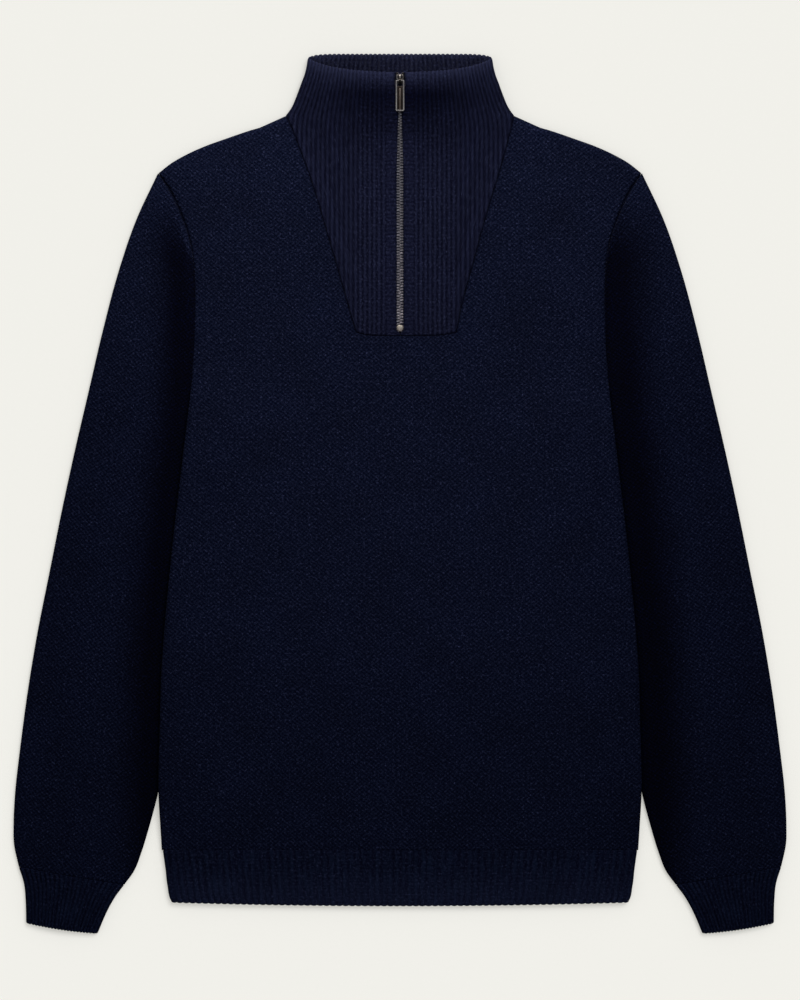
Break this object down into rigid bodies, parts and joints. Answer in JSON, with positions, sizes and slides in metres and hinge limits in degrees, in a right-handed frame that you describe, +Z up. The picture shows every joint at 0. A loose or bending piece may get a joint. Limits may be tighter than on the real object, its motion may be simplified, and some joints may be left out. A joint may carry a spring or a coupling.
{
  "type": "quarter zip sweater lying flat",
  "caption": "Knitted stand collar sweater laid flat on its back, with ribbed collar insert, hem and cuffs and a short metal zip with a hinged pull tab.",
  "frame": {"origin": "centre of the bounding box on the plane of the surface that the sweater lies on", "axes": "+X to the side that is on the right in a view of the front, +Y towards the collar, +Z up from the surface, out of the front"},
  "size_m": [0.6962, 0.792, 0.0132],
  "materials": {
    "navy_knit": "soft textured wool knit, very dark navy",
    "navy_rib": "ribbed wool knit, very dark navy",
    "navy_tape": "woven zip tape, black navy",
    "gunmetal": "dark antique metal",
    "pale_metal": "light metal"
  },
  "bodies": {
    "garment": {"body_front": "navy_knit", "body_back": "navy_knit", "sleeve_left": "navy_knit", "sleeve_right": "navy_knit", "cuff_left": "navy_rib", "cuff_right": "navy_rib", "hem_front": "navy_rib", "hem_back": "navy_rib", "collar_front_left": "navy_rib", "collar_front_right": "navy_rib", "collar_back": "navy_rib", "zip_tape_left": "navy_tape", "zip_tape_right": "navy_tape", "zip_chain": "gunmetal", "zip_top_stop_left": "gunmetal", "zip_top_stop_right": "gunmetal", "zip_slider": "gunmetal", "zip_bottom_stop": "pale_metal"},
    "pull_tab": {"zip_pull_tab": "gunmetal"}
  },
  "joints": [
    {"name": "pull_tab_flip", "type": "hinge", "parent": "garment", "child": "pull_tab", "pos_m": [0, 0.3719, 0.0115], "axis": [-1, 0, 0], "range_deg": [0, 170]}
  ]
}
